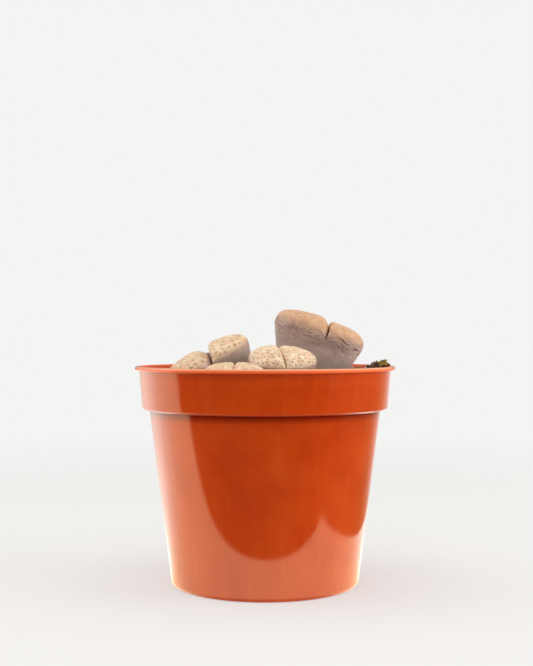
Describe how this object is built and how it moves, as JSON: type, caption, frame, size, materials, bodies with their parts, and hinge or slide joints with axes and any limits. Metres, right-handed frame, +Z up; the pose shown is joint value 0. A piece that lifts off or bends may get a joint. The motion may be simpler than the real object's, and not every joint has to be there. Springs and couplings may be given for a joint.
{
  "type": "potted lithops",
  "caption": "Cleft stone-plant heads with pitted flat-topped leaf pairs, standing in gritty soil in a round stepped nursery pot.",
  "frame": {"origin": "on the surface the pot stands on, under the pot's axis, which is the bottom centre of the object's box", "axes": "+Z up along the pot's axis; the plants' best side looks towards -Y, with the tall leaning head on the +X side"},
  "size_m": [0.108, 0.108, 0.1142],
  "materials": {
    "pot_plastic": "smooth moulded orange terracotta plastic, satin gloss",
    "soil": "dark gritty potting soil, matt",
    "grit": "mixed broken grit, matt",
    "leaf": "cream pitted leaf faces over grey-mauve flanks, waxy and matt",
    "moss": "dry brown moss with yellow-green tips, matt"
  },
  "bodies": {
    "root": {"pot": "pot_plastic", "soil": "soil", "grit": "grit", "lithops_left": "leaf", "lithops_front": "leaf", "lithops_middle": "leaf", "lithops_tall": "leaf", "moss_clump": "moss"}
  },
  "joints": []
}
